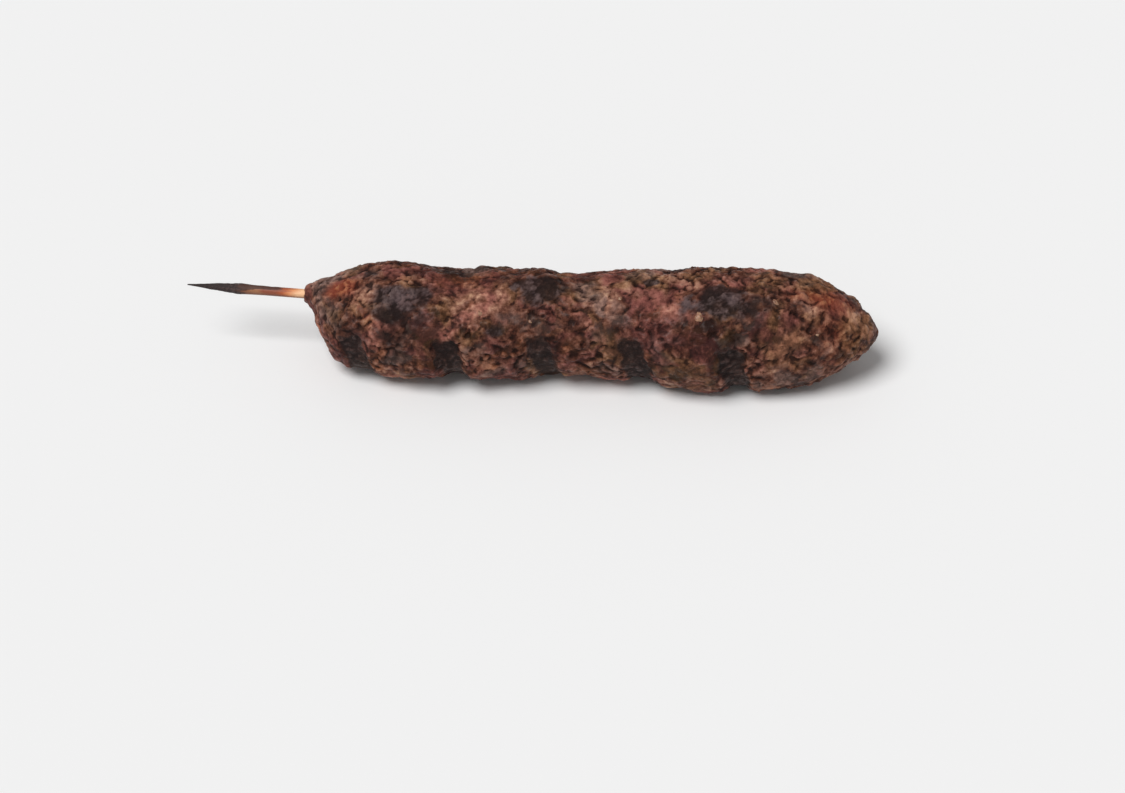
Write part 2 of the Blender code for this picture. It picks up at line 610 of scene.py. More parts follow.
def blots(*rows: tuple[float, float, float, float, float]) -> tuple[Blot, ...]:
    """Blots, from each one's five values in order, with its distances in millimetres."""
    return tuple(Blot(row[0] * MM, row[1], row[2] * MM, row[3] * MM, row[4]) for row in rows)


@dataclass(frozen=True)
class Bars:
    """The marks of the grill on one flank, as the solid has them.

    Attributes:
        first: the first bar's X.
        low: the angle where the bars begin.
        high: the angle where they end.
        slant: how far a bar leans over half its length.
        strength: how dark and deep they are.
        count: how many there are.
        pitch: the distance from one to the next.
        width: how wide they are.
        edge: how wide their soft sides are.
        stray: how far a bar may lie from its place.
        end_stray: how far its ends may, in degrees.
        end_fade: how long its soft ends are, in degrees.
    """

    first: float
    low: float
    high: float
    slant: float
    strength: float
    count: int = 5
    pitch: float = 24.5 * MM
    width: float = 6.2 * MM
    edge: float = 1.9 * MM
    stray: float = 1.5 * MM
    end_stray: float = 14.0
    end_fade: float = 14.0

    def depth(self, points: np.ndarray, angles: np.ndarray, fray: np.ndarray) -> np.ndarray:
        """How much each point lies in a bar.

        Args:
            points: the points, one a row.
            angles: their angles round the roll.
            fray: noise that frays the bars' edges, from -1 to 1.

        Returns:
            A value for each point, from 0 to the bars' strength.
        """
        middle, half = (self.low + self.high) / 2, (self.high - self.low) / 2
        deepest = np.zeros(len(points))
        for number in range(self.count):
            stray = noise.noise(Vector((number * self.pitch, self.first, 0)) / self.width)
            lean = self.slant * (angles - middle) / half
            bar_x = self.first + number * self.pitch + lean + stray * self.stray
            past_side = (np.abs(points[:, 0] - bar_x) - self.width / 2) / self.edge
            past_end = (np.abs(angles - middle + stray * self.end_stray) - half) / self.end_fade
            inside = (1 - ease(past_side + 0.5 + fray)) * (1 - ease(past_end + 0.5 + fray))
            deepest = np.maximum(deepest, inside)
        return self.strength * deepest


@dataclass
class Crust:
    """What the roll's surface is like at each of its points.

    Attributes:
        points: the points, before the crust rises.
        ragged: fine noise that frays edges.
        bar: how much each point lies in a bar.
        char: how scorched it is, from 0 to 1.
        loose: how crumbly it is, from 0 to 1.
        pits: how deep in a pit it is, from 0 to 1.
        stirred: the points moved about, for patterns as broad as the clumps.
        clumps: the clumps that the mince lies in.
        combed: the points squeezed along each clump, for patterns that run its way.
    """

    points: np.ndarray
    ragged: np.ndarray
    bar: np.ndarray
    char: np.ndarray
    loose: np.ndarray
    pits: np.ndarray
    stirred: np.ndarray
    clumps: Cells
    combed: np.ndarray


@dataclass
class MeatRoll:
    """The roll of grilled mince."""

    frame: RollFrame
    node: bpy.types.Object
    mesh_size: float = 0.435 * MM
    smoothings: int = 14
    plug_radius: float = 2.2 * MM
    plug_depth: float = 1.0 * MM
    ragged: tuple[Relief, ...] = (Relief(2.1 * MM, 1.0, 3.1), Relief(0.9 * MM, 0.6, 8.2))
    bar_fray: Relief = Relief(4.0 * MM, 0.5, 77.0)
    char_patches: tuple[Relief, ...] = (Relief(6.5 * MM, 1.0, 21.7), Relief(2.8 * MM, 0.5, 5.9))
    looseness: Relief = Relief(12 * MM, 0.9, 31.0)
    clump_tones: Relief = Relief(3.8 * MM, 1.8, 44.0)
    strand_tones: Relief = Relief(2.4 * MM, 1.3, 47.0)
    swell: Relief = Relief(8.5 * MM, 0.55 * MM, 51.0)
    lump: Relief = Relief(4.0 * MM, 0.42 * MM, 3.7)
    strand: Relief = Relief(1.5 * MM, 0.38 * MM, 6.6)
    crumble: Relief = Relief(2.0 * MM, 0.26 * MM, 8.4)
    grit: Relief = Relief(1.1 * MM, 0.15 * MM, 9.1)
    nub: Dots = Dots(2.6 * MM, 0.3, 0.45, 0.4 * MM, 5.3, Stir(1.4 * MM, 0.8 * MM, 25.0))
    pit: Dots = Dots(4.2 * MM, 0.3, 0.42, 0.7 * MM, 2.9, Stir(1.3 * MM, 0.7 * MM, 15.0))
    clump_size: float = 6.5 * MM
    clump_height: float = 0.26 * MM
    clump_seam: float = 0.6
    clump_stir: Stir = Stir(4.0 * MM, 1.4 * MM, 2.0)
    strand_stretch: float = 2.0
    strand_stir: Stir = Stir(2.6 * MM, 0.6 * MM, 12.0)
    rag_height: float = 0.06 * MM
    bar_sink: float = 0.35 * MM
    mouth_reach: float = 3.0 * MM
    lip_reach: float = 5.0 * MM
    lip_breadth: float = 1.1 * MM
    lip_round: float = 0.3 * MM
    lip_fray: float = 0.6 * MM
    lip_waves: tuple[Relief, ...] = (Relief(2.2 * MM, 1.0, 88.0), Relief(1.0 * MM, 0.5, 89.0))
    bars: tuple[Bars, ...] = (
        Bars(-45 * MM, -62, 24, -2.2 * MM, 1.0),
        Bars(-33 * MM, 152, 236, 2.0 * MM, 0.8),
    )
    # The blots low on the front flank, at angles 18, 30 and 36, are partly char and partly painted shade,
    # as a second roll lying in front would cast.
    char: tuple[Blot, ...] = blots(
        (28.7, 69, 8.0, 5.4, 1.1),
        (63, 82, 7.6, 5.4, 1.4),
        (107.5, 71, 6.5, 5.0, 1.3),
        (118, 66, 5.0, 4.0, 1.0),
        (91, 97, 2.4, 1.8, 1.8),
        (51, 36, 3.0, 2.2, 0.9),
        (18, 107, 4.0, 3.0, 0.8),
        (22, 30, 12.0, 7.0, 0.65),
        (99, 66, 3.0, 5.0, 0.5),
        (78, 18, 26.0, 3.0, 0.35),
        (100, 150, 9.0, 5.0, 0.8),
        (40, 165, 6.0, 5.0, 0.8),
    )
    # Negative blots darken and positive ones lighten. The negative ones low on the front flank, at angles
    # 0 to 42, are painted shade, as a second roll lying in front would cast.
    tone: tuple[Blot, ...] = blots(
        (28.7, 68, 7.0, 4.5, 1.0),
        (62.5, 82, 6.0, 5.0, -0.4),
        (45, 70, 9.0, 5.0, 0.5),
        (56, 57, 4.0, 5.5, 1.2),
        (19, 64, 3.5, 7.0, 1.0),
        (99, 68, 4.0, 6.0, 0.8),
        (129, 56, 5.0, 9.0, 0.9),
        (78, 60, 5.0, 9.0, 0.3),
        (78, 82, 7.0, 7.0, 0.9),
        (96, 66, 7.0, 6.0, 0.4),
        (145, 56, 6.0, 10.0, 0.9),
        (30, 190, 14.0, 8.0, 0.6),
        (88, 175, 16.0, 8.0, 0.6),
        (46, 122, 24.0, 6.0, -1.0),
        (27, 106, 6.0, 4.0, -1.1),
        (110, 128, 30.0, 5.0, -0.4),
        (21, 38, 14.0, 9.0, -0.7),
        (44, 40, 8.0, 5.0, -0.7),
        (62, 65, 7.0, 12.0, -0.4),
        (103, 42, 7.0, 5.0, -0.9),
        (118, 60, 17.0, 11.0, -0.5),
        (137, 41, 4.5, 4.0, -1.2),
        (11, 83, 3.5, 3.5, -0.9),
        (70, 90, 4.0, 4.0, -0.7),
        (41, 106, 4.0, 3.5, -0.6),
        (33, 76, 4.0, 7.0, -0.4),
        (85, 104, 4.0, 4.0, -0.9),
        (129, 106, 4.0, 4.0, -0.6),
        (85, 55, 4.0, 4.0, -0.5),
        (109, 39, 5.0, 5.0, -0.7),
        (114, 103, 4.0, 4.0, -0.5),
        (70, 26, 60.0, 6.0, -0.8),
        (75, 0, 80.0, 9.0, -0.4),
    )
    crumbly: tuple[Blot, ...] = blots((19, 40, 14.0, 12.0, 0.6))
    red: tuple[Blot, ...] = blots(
        (10.5, 90, 4.5, 4.2, 1.2),
        (18, 46, 5.0, 5.0, 0.45),
        (1.5, 40, 2.0, 2.0, 0.7),
        (133, 85, 9.0, 3.0, 0.5),
        (42, 92, 11.0, 4.5, 0.45),
        (139, 66, 10.0, 36.0, 0.42),
    )
    yellow: tuple[Blot, ...] = blots(
        (135, 80, 16.0, 60.0, 0.2),
        (72, 84, 10.0, 8.0, 0.2),
    )
    yellow_tints: tuple[float, float, float] = (-0.4, 1.0, -0.6)

    def build(self, stick: "BambooSkewer") -> bpy.types.Object:
        """Makes the roll.

        Args:
            stick: the skewer that it is pressed round.

        Returns:
            The roll, with its marks stored.
        """
        roll = self._solid_copy()
        self._close_bore(roll, stick)
        remesh = roll.modifiers.new("fine", "REMESH")
        remesh.mode = "VOXEL"
        remesh.voxel_size = self.mesh_size
        smooth = roll.modifiers.new("round", "SMOOTH")
        smooth.factor = 0.5
        smooth.iterations = self.smoothings
        apply_modifiers(roll)
        skin = Skin(roll)
        self._roughen(skin)
        self._round_lip(skin, stick)
        roll.data.shade_smooth()
        return roll

    def _solid_copy(self) -> bpy.types.Object:
        """Copies the solid's mesh and welds it along its split edges.

        Returns:
            The copy.
        """
        roll = new_object("meat_roll", self.node.data.copy())
        bm = bmesh.new()
        bm.from_mesh(roll.data)
        bmesh.ops.remove_doubles(bm, verts=bm.verts, dist=1e-6)
        bm.to_mesh(roll.data)
        bm.free()
        roll.data.materials.clear()
        return roll

    def _close_bore(self, roll: bpy.types.Object, stick: "BambooSkewer") -> None:
        """Fills the skewer's bore but for its mouth, where the meat grips the skewer.

        Args:
            roll: the roll, which gets the filling.
            stick: the skewer.
        """
        first = stick.point_at((self.frame.start + self.plug_depth - stick.tip.x) / stick.along.x)
        last = stick.butt + stick.along * (self.plug_radius - stick.radius)
        middle = (first + last) / 2
        turn = stick.along.to_track_quat("Z", "Y").to_matrix().to_4x4()
        bm = bmesh.new()
        bm.from_mesh(roll.data)
        bmesh.ops.create_cone(
            bm,
            cap_ends=True,
            segments=24,
            radius1=self.plug_radius,
            radius2=self.plug_radius,
            depth=(last - first).length,
            matrix=Matrix.Translation(middle) @ turn,
        )
        bm.to_mesh(roll.data)
        bm.free()

    def _round_lip(self, skin: Skin, stick: "BambooSkewer") -> None:
        """Rounds and frays the lip that grips the skewer.

        Args:
            skin: the roll's mesh.
            stick: the skewer.
        """
        points = skin.points
        near = ease(1 - (points[:, 0] - self.frame.start) / self.lip_reach)
        exit_point = stick.point_at((self.frame.start - stick.tip.x) / stick.along.x)
        away = np.linalg.norm(points[:, 1:] - np.array(exit_point[1:]), axis=1)
        rim = np.clip((away - stick.radius) / self.lip_breadth, 0, 1.5)
        frayed = self.lip_fray * waves(points, *self.lip_waves)
        points[:, 0] += near * (self.lip_round * rim**2 + frayed)
        skin.write()

    def _crust(self, points: np.ndarray) -> Crust:
        """Works out what the roll's surface is like.

        Args:
            points: the smooth roll's points.

        Returns:
            The crust at those points.
        """
        frame = self.frame
        ragged = waves(points, *self.ragged)
        fray = 0.3 * ragged + self.bar_fray.waves(points)
        angles = frame.angles(points)
        bar = sum(bars.depth(points, angles, fray) for bars in self.bars)
        patches = waves(points, *self.char_patches)
        char = ease((frame.spots(points, self.char) + 0.4 * patches + 0.2 * ragged - 0.3) / 0.75)
        loose = 0.65 + self.looseness.waves(points) + frame.spots(points, self.crumbly)
        loose = np.clip(loose, 0.46, 1.0) * (1 - 0.5 * np.clip(bar, 0, 1)) * (1 - 0.35 * char)
        stirred = self.clump_stir.moved(points)
        clumps = Cells(stirred, self.clump_size)
        combed = clumps.combed(self.strand_stir.moved(points), self.strand_stretch)
        return Crust(points, ragged, bar, char, loose, self.pit.at(points), stirred, clumps, combed)

    def _rise(self, crust: Crust) -> np.ndarray:
        """How far the crust stands out of the smooth roll, but for the bars.

        Args:
            crust: the crust.

        Returns:
            The rise at each point.
        """
        loose, draws = crust.loose, crust.clumps.draws
        seams = ease(crust.clumps.seam / self.clump_seam) * (0.6 + 0.4 * draws[:, 1])
        rise = self.rag_height * crust.ragged + self.swell.waves(crust.points)
        rise += self.clump_height * (seams - USUAL_LUMP) * loose
        rise += self.lump.lumps(crust.stirred) * loose
        rise += self.strand.waves(crust.combed) * loose
        rise += self.crumble.lumps(crust.combed) * loose
        rise += self.grit.lumps(crust.points) * (0.5 + crust.char)
        rise += self.nub.height * self.nub.at(crust.points) * (0.3 + loose)
        rise -= self.pit.height * crust.pits * loose
        return rise

    def _roughen(self, skin: Skin) -> None:
        """Gives the roll its crumbly surface and stores the marks of its finish.

        Args:
            skin: the smooth roll's mesh.
        """
        crust = self._crust(skin.points.copy())
        rise = self._rise(crust)
        # The height mark is the relief against blurred copies of itself, with pits counted as low; the
        # finish paints shade where it is low and light where it is high.
        fine, broad = rise - skin.blurred(rise, 4), rise - skin.blurred(rise, 40)
        height = 0.5 + 0.12 * fine / fine.std() + 0.15 * broad / broad.std() - 0.3 * crust.pits
        rise -= self.bar_sink * crust.bar
        past_mouth = (crust.points[:, 0] - self.frame.start) / self.mouth_reach
        skin.rise(rise * ease(past_mouth + 0.25))
        skin.points[:, 2] = np.maximum(skin.points[:, 2], 0.0)
        skin.write()
        skin.store(Mark.CHAR, crust.char)
        skin.store(Mark.BAR, np.clip(crust.bar, 0, 1))
        skin.store(Mark.HEIGHT, np.clip(height, -0.1, 1))
        skin.store(Mark.TONE, self._tones(crust))
        skin.store(Mark.TINT, self._tints(crust))
        skin.store(Mark.RED, np.clip(self.frame.spots(crust.points, self.red), 0, 1))

    def _tones(self, crust: Crust) -> np.ndarray:
        """How pale or dark the mince is.

        Args:
            crust: the crust.

        Returns:
            A value for each point, 0 where it is as usual, and above 0 where it is paler.
        """
        tones = self.frame.spots(crust.points, self.tone)
        tones += self.clump_tones.waves(crust.stirred)
        tones += self.strand_tones.waves(crust.combed)
        tones += 0.6 * (crust.clumps.draws[:, 2] - 0.5)
        return tones

    def _tints(self, crust: Crust) -> np.ndarray:
        """How much of each of the finish's three tints there is.

        Args:
            crust: the crust.

        Returns:
            A row of three for each point, mostly near a half.
        """
        fine = noise_rows(crust.stirred, 3.2 * MM, 61.0, 7)
        broad = noise_rows(crust.stirred, 9.0 * MM, 161.0, 7)
        tints = 0.5 + 0.25 * fine + 0.6 * broad + 0.25 * (crust.clumps.draws - 0.5)
        return tints + np.outer(self.frame.spots(crust.points, self.yellow), self.yellow_tints)


@dataclass(frozen=True)
class Fleck:
    """One bit of fat.

    Attributes:
        along: its distance from the roll's start.
        angle: its angle round the roll.
        radius: its radius.
    """

    along: float
    angle: float
    radius: float


@dataclass
class FatFlecks:
    """Bits of browned fat in the crust, each a lumpy ball sunk partly in.

    Attributes:
        frame: where the roll lies.
        flecks: the bits.
        flatness: their thickness as a share of their breadth.
        sink: how far their middles lie under the surface, as a share of their thickness.
        lumpiness: how far their shapes stray from a ball's.
        seed: what the random draws start from.
    """

    frame: RollFrame
    flecks: tuple[Fleck, ...] = (
        Fleck(103.4 * MM, 53, 1.2 * MM),
        Fleck(2.5 * MM, 22, 0.7 * MM),
        Fleck(47.0 * MM, 52, 0.7 * MM),
        Fleck(60.0 * MM, 45, 0.5 * MM),
        Fleck(83.0 * MM, 74, 0.6 * MM),
        Fleck(123.0 * MM, 71, 0.7 * MM),
        Fleck(134.0 * MM, 38, 0.5 * MM),
        Fleck(28.0 * MM, 172, 0.7 * MM),
        Fleck(67.0 * MM, 183, 0.9 * MM),
        Fleck(118.0 * MM, 204, 0.8 * MM),
    )
    flatness: float = 0.62
    sink: float = 0.5
    lumpiness: float = 0.35
    seed: int = 8

    def build(self, host: Skin) -> bpy.types.Object:
        """Makes the bits.

        Args:
            host: the roll's mesh.

        Returns:
            All the bits, as one piece.
        """
        draws = np.random.default_rng(self.seed)
        ball, triangles = self._ball()
        corners = [self._bit(ball, host, fleck, draws) for fleck in self.flecks]
        shifts = np.arange(len(corners))[:, None, None] * len(ball)
        faces = (triangles[None] + shifts).reshape(-1, 3)
        mesh = bpy.data.meshes.new("fat_flecks")
        mesh.from_pydata(np.concatenate(corners).tolist(), [], faces.tolist())
        mesh.shade_smooth()
        return new_object("fat_flecks", mesh)

    @staticmethod
    def _ball() -> tuple[np.ndarray, np.ndarray]:
        """Makes the ball that each bit is shaped from.

        Returns:
            Its points, and the three points of each of its triangles.
        """
        bm = bmesh.new()
        bmesh.ops.create_icosphere(bm, subdivisions=3, radius=1.0)
        corners = np.array([vert.co[:] for vert in bm.verts])
        faces = np.array([[vert.index for vert in face.verts] for face in bm.faces])
        bm.free()
        return corners, faces

    def _bit(
        self, ball: np.ndarray, host: Skin, fleck: Fleck, draws: np.random.Generator
    ) -> np.ndarray:
        """One bit's points.

        Args:
            ball: the points of a ball of radius 1.
            host: the roll's mesh.
            fleck: where the bit is, and its size.
            draws: the random draws.

        Returns:
            The bit's points, in place.
        """
        along, around = self.frame.offsets(host.points, fleck.along, fleck.angle)
        near = np.hypot(along, around) < fleck.radius
        normal = Vector(host.normals[near].mean(axis=0)).normalized()
        stretch = np.array([draws.uniform(1.0, 1.5), draws.uniform(0.8, 1.0), self.flatness])
        seed = draws.uniform(0, 90)
        rough = soft_noise(ball, 0.9, seed) + 0.5 * soft_noise(ball, 0.4, seed)
        local = ball * (1 + self.lumpiness * rough)[:, None] * stretch * fleck.radius
        spin = Matrix.Rotation(draws.uniform(0, 2 * math.pi), 3, "Z")
        turn = np.array(normal.to_track_quat("Z", "Y").to_matrix() @ spin)
        depth = fleck.radius * self.flatness * self.sink
        return host.points[near].mean(axis=0) - np.array(normal) * depth + local @ turn.T


# The skewer ---


@dataclass
class BambooSkewer:
    """The bamboo skewer, sharpened at one end.

    Attributes:
        node: its solid.
        covered_from: the X where the meat covers it.
        profile: distances from its tip and its radii there, in millimetres.
        overlap: how far its fine rings go on under the meat.
        char_reach: how far from the tip it is charred.
        soot_reach: how much further the soot goes.
        soot_side: the way across it to the side with the soot.
    """

    node: bpy.types.Object
    covered_from: float
    profile: tuple[tuple[float, float], ...] = (
        (0.0, 0.16),
        (2.2, 0.34),
        (5.0, 0.66),
        (8.0, 0.96),
        (11.0, 1.20),
        (14.0, 1.42),
        (17.0, 1.30),
        (21.0, 1.22),
        (34.0, 1.24),
        (44.0, 1.30),
    )
    sides: int = 56
    ring_gap: float = 0.25 * MM
    hidden_ring_gap: float = 4.0 * MM
    overlap: float = 4 * MM
    fibre_length: float = 14 * MM
    crackle_length: float = 1.3 * MM
    streak_length: float = 5 * MM
    fibre_height: float = 0.05 * MM
    char_height: float = 0.16 * MM
    char_reach: float = 14.3 * MM
    char_wander: float = 2.4 * MM
    char_fade: float = 4.5 * MM
    soot_reach: float = 10.0 * MM
    soot_side: tuple[float, float] = (0.7, 0.7)
    soot_edge: float = 0.4
    soot_depth: float = 0.58

    def __post_init__(self) -> None:
        """Finds the skewer's line from its solid."""
        points = np.array([vert.co[:] for vert in self.node.data.vertices])
        first = points[points[:, 0] < points[:, 0].min() + 0.2 * MM].mean(axis=0)
        last = points[points[:, 0] > points[:, 0].max() - 1.0 * MM].mean(axis=0)
        self.tip = Vector(first)
        self.along = (Vector(last) - self.tip).normalized()
        self.butt = Vector(last)
        self.length = (self.butt - self.tip).length
        away = points - np.array(self.tip)
        lengths = away @ np.array(self.along)
        self.radius = float(np.linalg.norm(away - lengths[:, None] * np.array(self.along), axis=1).max())

    def point_at(self, distance: float) -> Vector:
        """The point of the skewer's line at a distance from its tip."""
        return self.tip + self.along * distance

    def build(self) -> bpy.types.Object:
        """Makes the skewer.

        Returns:
            The skewer, with its marks stored.
        """
        showing = (self.covered_from - self.tip.x) / self.along.x + self.overlap
        fine = np.arange(0, showing, self.ring_gap)
        coarse = np.arange(fine[-1] + self.hidden_ring_gap, self.length, self.hidden_ring_gap)
        places = np.concatenate([fine, coarse, [self.length]])
        turns = np.linspace(0, 2 * math.pi, self.sides, endpoint=False)
        along = np.repeat(places, self.sides)
        around = np.tile(turns, len(places))
        char = self._char(along, around)
        radii = self._radii(along, around, char)
        local = np.stack([along, radii * np.cos(around), radii * np.sin(around)], axis=1)
        turn = np.array(self.along.to_track_quat("X", "Z").to_matrix())
        points = np.array(self.tip) + local @ turn.T
        mesh = bpy.data.meshes.new("bamboo_skewer")
        mesh.from_pydata(points.tolist(), [], self._faces(len(places)))
        mesh.shade_smooth()
        skewer = new_object("bamboo_skewer", mesh)
        skin = Skin(skewer)
        skin.store(Mark.CHAR, char)
        skin.store(Mark.ALONG, along)
        skin.store(Mark.GRAIN, local)
        return skewer

    def _radii(self, along: np.ndarray, around: np.ndarray, char: np.ndarray) -> np.ndarray:
        """The distance of the skewer's surface from its line.

        Args:
            along: the distance from the tip of each point.
            around: the angle round the skewer of each point.
            char: how charred each point is.

        Returns:
            The radius at each point.
        """
        places, radii = np.array(self.profile).T * MM
        plain = np.interp(along, places, radii)
        ring = np.stack([np.cos(around), np.sin(around)], axis=1)
        fibres = np.column_stack([along / self.fibre_length, ring * 4.2])
        crackle = np.column_stack([along / self.crackle_length, ring * 2.0])
        rough = self.fibre_height * soft_noise(fibres, 1.0, 5.0)
        rough += self.char_height * char * soft_noise(crackle, 1.0, 11.0)
        return plain + rough * plain / self.radius

    def _char(self, along: np.ndarray, around: np.ndarray) -> np.ndarray:
        """How charred the skewer is.

        Args:
            along: the distance from the tip of each point.
            around: the angle round the skewer of each point.

        Returns:
            A value from 0 to 1 for each point.
        """
        ring = np.stack([np.cos(around), np.sin(around)], axis=1)
        streaks = soft_noise(np.column_stack([along / self.streak_length, ring * 1.8]), 1.0, 23.0)
        upper = ease((ring @ np.array(self.soot_side) + 0.25 * streaks + 0.1) / self.soot_edge)
        past = (self.char_reach + self.char_wander * streaks - along) / self.char_fade
        soot = ease(past + self.soot_reach / self.char_fade * upper + 0.5)
        return np.maximum(ease(past + 0.5), self.soot_depth * soot)

    def _faces(self, rings: int) -> list[tuple[int, ...]]:
        """The faces that join the rings, with both ends closed.

        Args:
            rings: how many rings there are.

        Returns:
            Each face's points.
        """
        sides = self.sides
        faces: list[tuple[int, ...]] = []
        for ring in range(rings - 1):
            for side in range(sides):
                near, other = ring * sides + side, ring * sides + (side + 1) % sides
                faces.append((near, other, other + sides, near + sides))
        faces.append(tuple(range(sides - 1, -1, -1)))
        faces.append(tuple(range((rings - 1) * sides, rings * sides)))
        return faces


# Finishes ---


@dataclass(frozen=True)
class Tint:
    """A colour that the mince takes in soft patches.

    Attributes:
        channel: which of the roll's three stored tints it follows.
        low: the stored value where it starts.
        high: the stored value where it is full, which may be the smaller.
        share: how strong it is there.
        colour: the colour.
    """

    channel: int
    low: float
    high: float
    share: float
    colour: Colour


@dataclass(frozen=True)
class MinceFinish:
    """Grilled minced beef: mottled brown, black char, painted light on raised granules and painted shade
    in cracks.
    """

    tones: tuple[tuple[float, Colour], ...] = (
        (0.10, paint(32, 12, 7)),
        (0.30, paint(67, 35, 25)),
        (0.48, paint(99, 60, 46)),
        (0.64, paint(128, 86, 70)),
        (0.80, paint(160, 116, 95)),
        (0.95, paint(196, 152, 126)),
    )
    tints: tuple[Tint, ...] = (
        Tint(0, 0.50, 0.80, 0.50, paint(144, 88, 78)),
        Tint(0, 0.40, 0.10, 0.60, paint(122, 98, 90)),
        Tint(1, 0.52, 0.85, 0.42, paint(116, 84, 50)),
        Tint(1, 0.42, 0.10, 0.45, paint(132, 78, 48)),
        Tint(2, 0.52, 0.80, 0.60, paint(98, 50, 48)),
    )
    # The shares for each tint's dark and pale copies. They follow the tone, so they carry its painted
    # shade and painted light as well as its mottle.
    shades: tuple[float, float] = (0.44, 1.7)
    # Painted shade for the creases and pits between the granules.
    crease_shade: Colour = paint(30, 11, 6)
    red: Colour = paint(124, 56, 38)
    # Orange on the raised tops of the red patches: partly seared colour, partly painted highlight.
    seared_orange_highlight: Colour = paint(164, 96, 62)
    black: Colour = paint(34, 25, 24)
    ash: Colour = paint(88, 76, 78)
    bar: Colour = paint(28, 19, 18)
    bar_dust_and_highlight: Colour = paint(70, 50, 46)
    blotch_size: float = 9 * MM
    ash_size: float = 6.0 * MM
    grease_size: float = 3.0 * MM
    fine_size: float = 1.8 * MM
    grain_size: float = 0.9 * MM
    speck_size: float = 0.5 * MM
    fine_bump: float = 0.34 * MM
    grain_bump: float = 0.27 * MM
    speck_bump: float = 0.12 * MM
    roughness: float = 0.62

    def material(self) -> bpy.types.Material:
        """Makes the finish.

        Returns:
            The material.
        """
        graph = Graph("grilled_mince")
        place = graph.place()
        speck = graph.noise(place, self.speck_size, 4.0, 0.65)
        grains = graph.noise(place, self.grain_size, 3.0)
        fine = graph.noise(place, self.fine_size, 4.0, 0.55)
        height = graph.mark(Mark.HEIGHT)
        colour = self._flesh(graph, height, fine, grains * 0.3 + speck * 0.3)

        char = (graph.mark(Mark.CHAR) + fine.sway(1.0) + grains.sway(0.4)).step(0.1, 0.9)
        colour = graph.mix(char * 0.88, colour, self._coal(graph, height, fine, grains))
        bar = (graph.mark(Mark.BAR) + fine.sway(0.9) + height.sway(0.3)).step(0.15, 0.95)
        # The bars are paler on specks, as dust, and on raised places, as painted highlight.
        dusty = graph.mix((speck * 0.7 + height * 0.5).step(0.55, 0.9), self.bar, self.bar_dust_and_highlight)
        colour = graph.mix(bar * 0.92, colour, dusty)

        greasy = (graph.noise(place, self.grease_size, 3.0) + height.sway(0.7)).step(0.52, 0.75)
        bumps = graph.bump(grains, self.grain_bump, graph.bump(fine, self.fine_bump))
        sockets = {
            "Base Color": colour,
            "Roughness": self.roughness + char * 0.2 - greasy * 0.2,
            "Coat Weight": greasy * (1 - char) * 0.1,
            "Coat Roughness": 0.28,
            "Specular IOR Level": 0.13,
            "Normal": graph.bump(speck, self.speck_bump, bumps),
        }
        return graph.surface(sockets)

    def _coal(self, graph: Graph, height: Wire, fine: Wire, grains: Wire) -> Wire:
        """The colour of the scorched crust: ashy where its tone is pale, and ash grey as painted
        highlight where it is raised.

        Args:
            graph: the material's graph.
            height: how far the surface stands out, from 0 in creases to 1 on tops.
            fine: fine noise.
            grains: finer noise.

        Returns:
            The colour.
        """
        # Raised crust turns paler as painted highlight; the noise and the tone mark give the real ash.
        ash_and_highlight = graph.noise(graph.place(), self.ash_size, 4.0, 0.5) + height.sway(0.4)
        ash_and_highlight = ash_and_highlight + fine.sway(0.6) + grains.sway(0.3)
        ash_and_highlight = (ash_and_highlight + graph.mark(Mark.TONE) * 0.24).step(0.25, 0.95)
        return graph.mix(ash_and_highlight, self.black, self.ash)

    def _flesh(self, graph: Graph, height: Wire, fine: Wire, specks: Wire) -> Wire:
        """The colour of the mince where it isn't scorched.

        Args:
            graph: the material's graph.
            height: how far the surface stands out, from 0 in creases to 1 on tops.
            fine: fine noise.
            specks: finer noise still.

        Returns:
            The colour.
        """
        tints = graph.node("ShaderNodeSeparateXYZ", {}, {0: graph.mark(Mark.TINT, "Vector")})
        blotch = graph.noise(graph.place(), self.blotch_size, 4.0, 0.55)
        # The height term is painted light on the raised tops and painted shade in the creases; the blotch
        # and fine terms are the mince's own mottle.
        tone = blotch.sway(0.9) + fine.sway(0.95) + height.sway(0.4)
        tone = tone + (specks - 0.3) * 0.85 + graph.mark(Mark.TONE) * 0.145 + 0.47
        colour = graph.ramp(tone, self.tones)
        wander = fine.sway(0.3)
        for tint in self.tints:
            amount = (graph.out(tints, tint.channel) + wander).step(tint.low, tint.high) * tint.share
            # Each tint has a dark and a pale copy mixed by the tone: partly the mince's own mottle,
            # partly painted shade in creases and painted light on tops.
            dark, pale = (tuple(part * shade for part in tint.colour) for shade in self.shades)
            colour = graph.mix(amount, colour, graph.mix(tone.step(0.2, 0.85), dark, pale))
        red = (graph.mark(Mark.RED) + fine.sway(0.6)).step(0.2, 0.9)
        # The red patches are red low down and paler orange on their raised tops, partly seared colour and
        # partly painted highlight.
        warm = graph.mix((height + fine.sway(1.2)).step(0.4, 1.0), self.red, self.seared_orange_highlight)
        colour = graph.mix(red * 0.8, colour, warm)
        # Painted shade: where the height mark is low, in creases and pits, the colour goes most of the
        # way to near-black brown.
        deep = (height + fine.sway(0.3)).step(0.3, 0.0)
        return graph.mix(deep * 0.7, colour, self.crease_shade)


@dataclass(frozen=True)
class FatFinish:
    """Browned fat: pale, with toasted patches."""

    pale: Colour = paint(170, 131, 104)
    toasted: Colour = paint(122, 84, 66)

    def material(self) -> bpy.types.Material:
        """Makes the finish.

        Returns:
            The material.
        """
        graph = Graph("browned_fat")
        place = graph.place()
        cloud = graph.noise(place, 0.9 * MM, 4.0)
        colour = graph.mix(cloud.step(0.35, 0.7), self.pale, self.toasted)
        sockets = {
            "Base Color": colour,
            "Roughness": 0.3 + cloud * 0.3,
            "Subsurface Weight": 0.15,
            "Subsurface Scale": 0.8 * MM,
            "Normal": graph.bump(cloud, 0.15 * MM),
        }
        return graph.surface(sockets)


